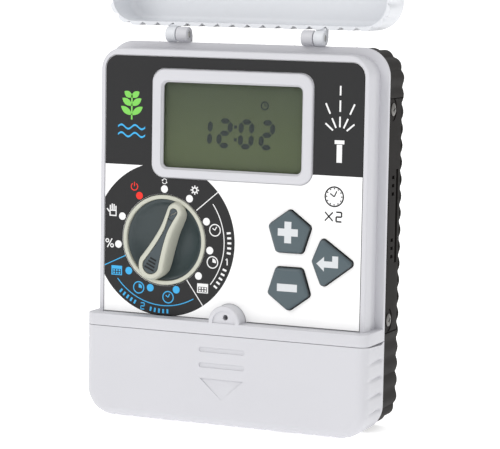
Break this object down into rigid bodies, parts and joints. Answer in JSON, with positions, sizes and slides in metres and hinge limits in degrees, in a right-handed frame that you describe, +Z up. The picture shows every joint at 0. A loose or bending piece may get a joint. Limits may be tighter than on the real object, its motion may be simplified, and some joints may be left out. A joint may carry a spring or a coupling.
{
  "type": "irrigation controller",
  "caption": "Wall-mounted irrigation controller with a flip-up lid, a display, a rotary selector dial, shaped push keys and a slide-down cover over its wiring terminals.",
  "frame": {"origin": "centre of the flat back of the rear case, where it meets the wall", "axes": "+X to the right seen from the front, +Y into the wall, +Z up"},
  "size_m": [0.1642, 0.0502, 0.3597],
  "materials": {
    "housing_plastic": "fine satin, cool light grey",
    "case_plastic": "satin warm black",
    "seal_rubber": "matt",
    "label_print": "printed film, satin",
    "clear_window": "clear polished",
    "lcd": "olive display glass",
    "holder_plastic": "moulded",
    "contact_rubber": "soft",
    "steel": "zinc plated",
    "dial_cream": "satin",
    "dial_slate": "half gloss dark slate",
    "key_plastic": "satin blue-grey",
    "black_parts": "moulded",
    "plunger_plastic": "moulded",
    "board": "lacquered circuit board",
    "capacitor_sleeve": "sleeve",
    "fuse_body": "moulded",
    "terminal_plastic": "moulded green"
  },
  "bodies": {
    "controller": {"backup_battery": "steel", "battery_holder": "black_parts", "board_screw_1": "steel", "board_screw_2": "steel", "cable_grommet_left": "seal_rubber", "cable_grommet_right": "seal_rubber", "case_screw_1": "steel", "case_screw_2": "steel", "case_screw_3": "steel", "case_screw_4": "steel", "case_seal": "seal_rubber", "control_chip": "black_parts", "display_window": "clear_window", "enter_switch": "black_parts", "faceplate_label": "label_print", "front_housing": "housing_plastic", "fuse": "fuse_body", "hinge_pin_left": "steel", "hinge_pin_right": "steel", "lcd_connector_strip": "contact_rubber", "lcd_glass": "lcd", "lcd_holder": "holder_plastic", "main_board": "board", "minus_switch": "black_parts", "plus_switch": "black_parts", "rear_case": "case_plastic", "rotary_switch": "black_parts", "side_plate_left": "case_plastic", "side_plate_right": "case_plastic", "side_screw_left_1": "steel", "side_screw_left_2": "steel", "side_screw_right_1": "steel", "side_screw_right_2": "steel", "smoothing_capacitor": "capacitor_sleeve", "terminal_block": "terminal_plastic", "terminal_screw_1": "steel", "terminal_screw_2": "steel", "terminal_screw_3": "steel", "terminal_screw_4": "steel", "terminal_screw_5": "steel", "terminal_screw_6": "steel", "terminal_screw_7": "steel", "terminal_screw_8": "steel", "valve_driver_1": "black_parts", "valve_driver_2": "black_parts", "valve_driver_3": "black_parts", "valve_driver_4": "black_parts"},
    "lid": {"lid": "housing_plastic"},
    "terminal_cover": {"terminal_cover": "housing_plastic"},
    "dial": {"dial_knob": "dial_cream", "dial_dish": "dial_slate", "dial_inlay": "dial_slate", "rotary_switch_shaft": "steel"},
    "plus_key": {"plus_button": "key_plastic"},
    "plus_plunger": {"plus_switch_plunger": "plunger_plastic"},
    "minus_key": {"minus_button": "key_plastic"},
    "minus_plunger": {"minus_switch_plunger": "plunger_plastic"},
    "enter_key": {"enter_button": "key_plastic"},
    "enter_plunger": {"enter_switch_plunger": "plunger_plastic"}
  },
  "joints": [
    {"name": "lid_hinge", "type": "hinge", "parent": "controller", "child": "lid", "pos_m": [0, -0.02547, 0.1062], "axis": [1, 0, 0], "range_deg": [0, 180]},
    {"name": "cover_slide", "type": "slide", "parent": "controller", "child": "terminal_cover", "axis": [0, 0, -1], "range_m": [0, 0.052]},
    {"name": "dial_spin", "type": "hinge", "parent": "controller", "child": "dial", "pos_m": [-0.0391, 0, -0.0044], "axis": [0, -1, 0], "continuous": true},
    {"name": "plus_press", "type": "slide", "parent": "controller", "child": "plus_key", "axis": [0, 1, 0], "range_m": [0, 0.0008], "stiffness_N_per_m": 1500},
    {"name": "plus_plunger_press", "type": "slide", "parent": "controller", "child": "plus_plunger", "axis": [0, 1, 0], "range_m": [0, 0.0008]},
    {"name": "minus_press", "type": "slide", "parent": "controller", "child": "minus_key", "axis": [0, 1, 0], "range_m": [0, 0.0008], "stiffness_N_per_m": 1500},
    {"name": "minus_plunger_press", "type": "slide", "parent": "controller", "child": "minus_plunger", "axis": [0, 1, 0], "range_m": [0, 0.0008]},
    {"name": "enter_press", "type": "slide", "parent": "controller", "child": "enter_key", "axis": [0, 1, 0], "range_m": [0, 0.0008], "stiffness_N_per_m": 1500},
    {"name": "enter_plunger_press", "type": "slide", "parent": "controller", "child": "enter_plunger", "axis": [0, 1, 0], "range_m": [0, 0.0008]}
  ],
  "couplings": [
    {"joint": "plus_plunger_press", "follows": "plus_press", "ratio": 1},
    {"joint": "minus_plunger_press", "follows": "minus_press", "ratio": 1},
    {"joint": "enter_plunger_press", "follows": "enter_press", "ratio": 1}
  ]
}
